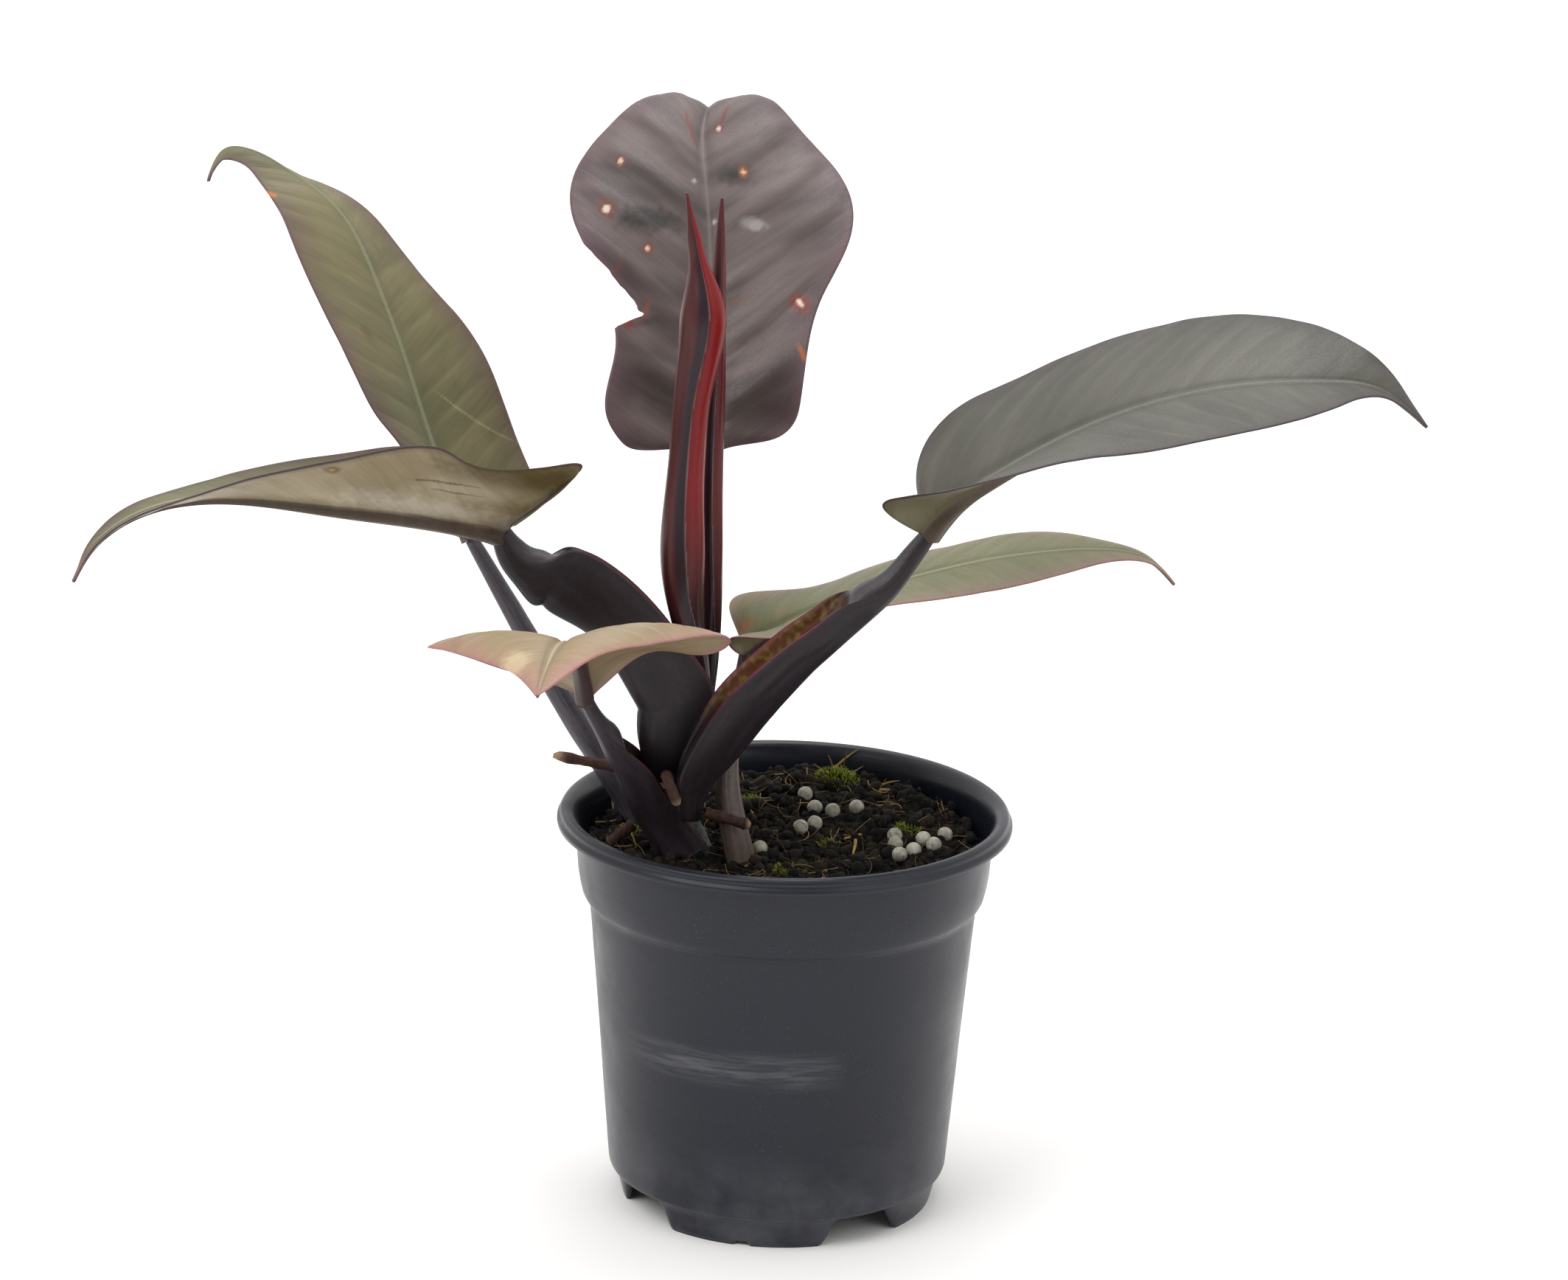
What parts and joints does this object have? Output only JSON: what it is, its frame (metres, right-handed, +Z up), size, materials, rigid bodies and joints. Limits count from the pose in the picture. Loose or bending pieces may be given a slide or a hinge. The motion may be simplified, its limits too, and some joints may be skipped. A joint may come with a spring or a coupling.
{
  "type": "potted philodendron",
  "caption": "Young philodendron with broad arching leaves on dark sheathed stalks and rolled new leaves, growing in a round black nursery pot.",
  "frame": {"origin": "under the middle of the whole object's box, at the level of the feet that it stands on; the pot's own axis stands at x 12.2 mm, y -4.2 mm, since the leaves reach further left and back", "axes": "+Z is up, along the pot's axis; -Y is the front, where the leaf on the shortest stalk points; +X is to the right seen from the front, where the largest arching leaf points"},
  "size_m": [0.3429, 0.2085, 0.2792],
  "materials": {
    "pot": "satin charcoal plastic with faint turning rings",
    "potting_mix": "crumbly, matt, near black",
    "stem": "smooth, grey-green, with a light bloom",
    "petiole": "purple-black with a soft sheen",
    "blade_back": "leathery, grey-brown with a mauve cast, soft sheen",
    "blade_upper_left": "leathery, olive with a paler midrib, soft sheen",
    "blade_lower_left": "leathery, olive above, beige and brown beneath",
    "blade_front": "leathery, pale green with a pink margin, beige beneath",
    "blade_right": "leathery, grey-green, soft sheen",
    "blade_lower_right": "leathery, pale olive, soft sheen",
    "new_leaf": "glossy, maroon outside and dark red inside",
    "aerial_root": "rough, brown, paler at the tip",
    "prill": "waxy, off-white with a darker mottle",
    "moss": "fine, yellow-green, matt",
    "sliver": "fibrous, straw coloured, matt"
  },
  "bodies": {
    "root": {"pot": "pot", "potting_mix": "potting_mix", "stem": "stem", "petiole_back": "petiole", "blade_back": "blade_back", "petiole_upper_left": "petiole", "blade_upper_left": "blade_upper_left", "petiole_lower_left": "petiole", "blade_lower_left": "blade_lower_left", "petiole_front": "petiole", "blade_front": "blade_front", "petiole_right": "petiole", "blade_right": "blade_right", "petiole_lower_right": "petiole", "blade_lower_right": "blade_lower_right", "new_leaf_front": "new_leaf", "new_leaf_behind": "new_leaf", "aerial_root_1": "aerial_root", "aerial_root_2": "aerial_root", "aerial_root_3": "aerial_root", "aerial_root_4": "aerial_root", "prill_01": "prill", "prill_02": "prill", "prill_03": "prill", "prill_04": "prill", "prill_05": "prill", "prill_06": "prill", "prill_07": "prill", "prill_08": "prill", "prill_09": "prill", "prill_10": "prill", "prill_11": "prill", "prill_12": "prill", "prill_13": "prill", "prill_14": "prill", "moss_1": "moss", "moss_2": "moss", "moss_3": "moss", "moss_4": "moss", "moss_5": "moss", "moss_6": "moss", "sliver_1": "sliver", "sliver_2": "sliver", "sliver_3": "sliver"}
  },
  "joints": []
}
